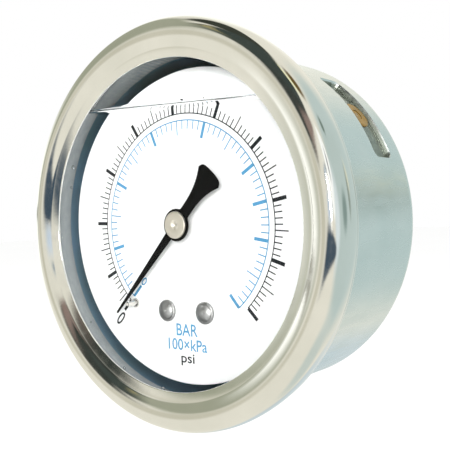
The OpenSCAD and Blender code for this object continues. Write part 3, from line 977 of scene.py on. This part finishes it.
# What the polished metal mirrors: soft elliptical patches painted over a pale room, as
# (name, bearing, rise, half width, half height, tilt in degrees, softness, colour).
ROOM = (
    ("side_wall", 118, 8, 82, 66, 0, 0.35, (0.60, 0.72, 0.705)),
    ("side_wall_rear", -242, 8, 82, 66, 0, 0.35, (0.60, 0.72, 0.705)),
    ("side_low", 118, -60, 80, 26, 0, 0.6, (0.70, 0.78, 0.74)),
    ("rear_light", -140, 40, 22, 34, 0, 0.7, (1.25, 1.27, 1.18)),
    ("rear_shade", -158, -40, 32, 30, 0, 0.6, (0.68, 0.78, 0.82)),
    ("ceiling", -40, 88, 100, 36, 0, 0.2, (0.047, 0.054, 0.041)),
    ("dark_corner", -8, 44, 47, 27, 30, 0.15, (0.055, 0.072, 0.064)),
    ("dark_edge", -14, 19, 32, 9, 28, 0.3, (0.045, 0.055, 0.048)),
    ("upper_wall", -82, 26, 48, 36, 0, 0.18, (0.43, 0.45, 0.345)),
    ("yellow_trim", -37, 38, 3.5, 18, 8, 0.7, (0.42, 0.38, 0.20)),
    ("left_window", -92, 3, 42, 24, 0, 0.8, (1.40, 1.41, 1.34)),
    ("left_rail", -84, 2, 28, 1.5, 0, 0.6, (0.42, 0.42, 0.36)),
    ("beige_wall", -43, 0, 10, 10, 0, 0.6, (0.72, 0.70, 0.58)),
    ("rust_line", -2, 20, 36, 5, 26, 0.6, (0.32, 0.24, 0.21)),
    ("blue_streak", 12, 12, 24, 2.6, 17, 0.8, (0.24, 0.33, 0.42)),
    ("low_streak", 8, 2.5, 32, 5, 4, 0.7, (0.70, 0.82, 0.96)),
    ("right_window", 42, 17, 18, 20, 0, 0.3, (1.30, 1.33, 1.32)),
    ("window_frame", 43, 20, 5, 9, 0, 0.7, (0.25, 0.25, 0.27)),
    ("brown_shelf", 58, 60, 26, 11, 8, 0.5, (0.16, 0.11, 0.03)),
    ("lamp", 33, 56, 13, 9, -35, 0.5, (1.10, 1.09, 0.72)),
    ("side_shadow", 94, 41, 13, 6, 0, 0.7, (0.18, 0.25, 0.21)),
    ("side_glow", 62, 0, 24, 30, 0, 0.8, (0.88, 0.98, 1.02)),
    ("side_band", 113, 3, 22, 12, 0, 0.7, (0.29, 0.39, 0.37)),
    ("neck_shade", 152, 8, 6, 11, 0, 0.6, (0.34, 0.40, 0.36)),
    ("neck_glow", 157, 12, 2.5, 7, 0, 0.7, (0.95, 0.95, 0.72)),
    ("slate_table", 13, -8.5, 52, 6.5, -6, 0.3, (0.065, 0.10, 0.14)),
)


def mix_patch(tree, angles, below, patch):
    """Paint one elliptical patch over the colour below it."""
    name, bearing, rise, half_width, half_height, tilt, softness, colour = patch
    place = tree.nodes.new("ShaderNodeMapping")
    place.vector_type = "TEXTURE"
    place.inputs["Location"].default_value = (bearing, rise, 0)
    place.inputs["Rotation"].default_value = (0, 0, radians(tilt))
    place.inputs["Scale"].default_value = (half_width, half_height, 1)
    tree.links.new(angles, place.inputs["Vector"])
    length = tree.nodes.new("ShaderNodeVectorMath")
    length.operation = "LENGTH"
    tree.links.new(place.outputs["Vector"], length.inputs[0])
    fade = tree.nodes.new("ShaderNodeMapRange")
    fade.interpolation_type = "SMOOTHSTEP"
    fade.inputs["From Min"].default_value = 1
    fade.inputs["From Max"].default_value = 1 - softness
    tree.links.new(length.outputs["Value"], fade.inputs["Value"])
    mix = tree.nodes.new("ShaderNodeMix")
    mix.name = name
    mix.data_type = "RGBA"
    mix.inputs["B"].default_value = (*colour, 1)
    tree.links.new(fade.outputs["Result"], mix.inputs["Factor"])
    tree.links.new(below, mix.inputs["A"])
    return mix.outputs["Result"]


def view_angles(tree):
    """Bearing from the front and rise of the direction looked in, in degrees."""
    coords = tree.nodes.new("ShaderNodeTexCoord")
    parts = tree.nodes.new("ShaderNodeSeparateXYZ")
    tree.links.new(coords.outputs["Generated"], parts.inputs["Vector"])
    front = math_node(tree, "MULTIPLY", parts.outputs["Y"], -1)
    bearing = math_node(tree, "ARCTAN2", parts.outputs["X"], front)
    rise = math_node(tree, "ARCSINE", parts.outputs["Z"])
    both = tree.nodes.new("ShaderNodeCombineXYZ")
    tree.links.new(math_node(tree, "DEGREES", bearing), both.inputs["X"])
    tree.links.new(math_node(tree, "DEGREES", rise), both.inputs["Y"])
    return both.outputs["Vector"]


def math_node(tree, operation, first, second=None):
    """One step of arithmetic on a socket, with a number or another socket if it takes two."""
    made = tree.nodes.new("ShaderNodeMath")
    made.operation = operation
    tree.links.new(first, made.inputs[0])
    if isinstance(second, (int, float)):
        made.inputs[1].default_value = second
    elif second is not None:
        tree.links.new(second, made.inputs[1])
    return made.outputs["Value"]


def build_world():
    """Mirror-like surfaces see the painted room; everything else sees an even white backdrop."""
    world = bpy.data.worlds.new("room")
    bpy.context.scene.world = world
    world.use_nodes = True
    tree = world.node_tree
    tree.nodes.clear()
    base = tree.nodes.new("ShaderNodeRGB")
    base.outputs["Color"].default_value = (0.96, 0.94, 0.83, 1)
    colour = base.outputs["Color"]
    angles = view_angles(tree)
    for patch in ROOM:
        colour = mix_patch(tree, angles, colour, patch)
    path = tree.nodes.new("ShaderNodeLightPath")
    room = tree.nodes.new("ShaderNodeBackground")
    backdrop = tree.nodes.new("ShaderNodeBackground")
    backdrop.inputs["Color"].default_value = (1, 1, 1, 1)
    mix = tree.nodes.new("ShaderNodeMixShader")
    out = tree.nodes.new("ShaderNodeOutputWorld")
    tree.links.new(colour, room.inputs["Color"])
    tree.links.new(path.outputs["Is Glossy Ray"], mix.inputs["Fac"])
    tree.links.new(backdrop.outputs["Background"], mix.inputs[1])
    tree.links.new(room.outputs["Background"], mix.inputs[2])
    tree.links.new(mix.outputs["Shader"], out.inputs["Surface"])


def build_studio():
    add_camera()
    add_floor()
    build_world()
    add_area_light("key", 18, 6, 0.6, 0.09, 1.7, True)
    add_area_light("fill", 55, 30, 0.7, 0.6, 3.0, False)
    bpy.context.scene.view_settings.view_transform = "Standard"


build_studio()
add_bezel()
add_gasket()
add_case()
add_plug()
add_filling()
add_tube()
add_dial()
add_print()
add_dial_screws()
add_stop_pin()
add_pointer()
add_hub()
dress_nodes()
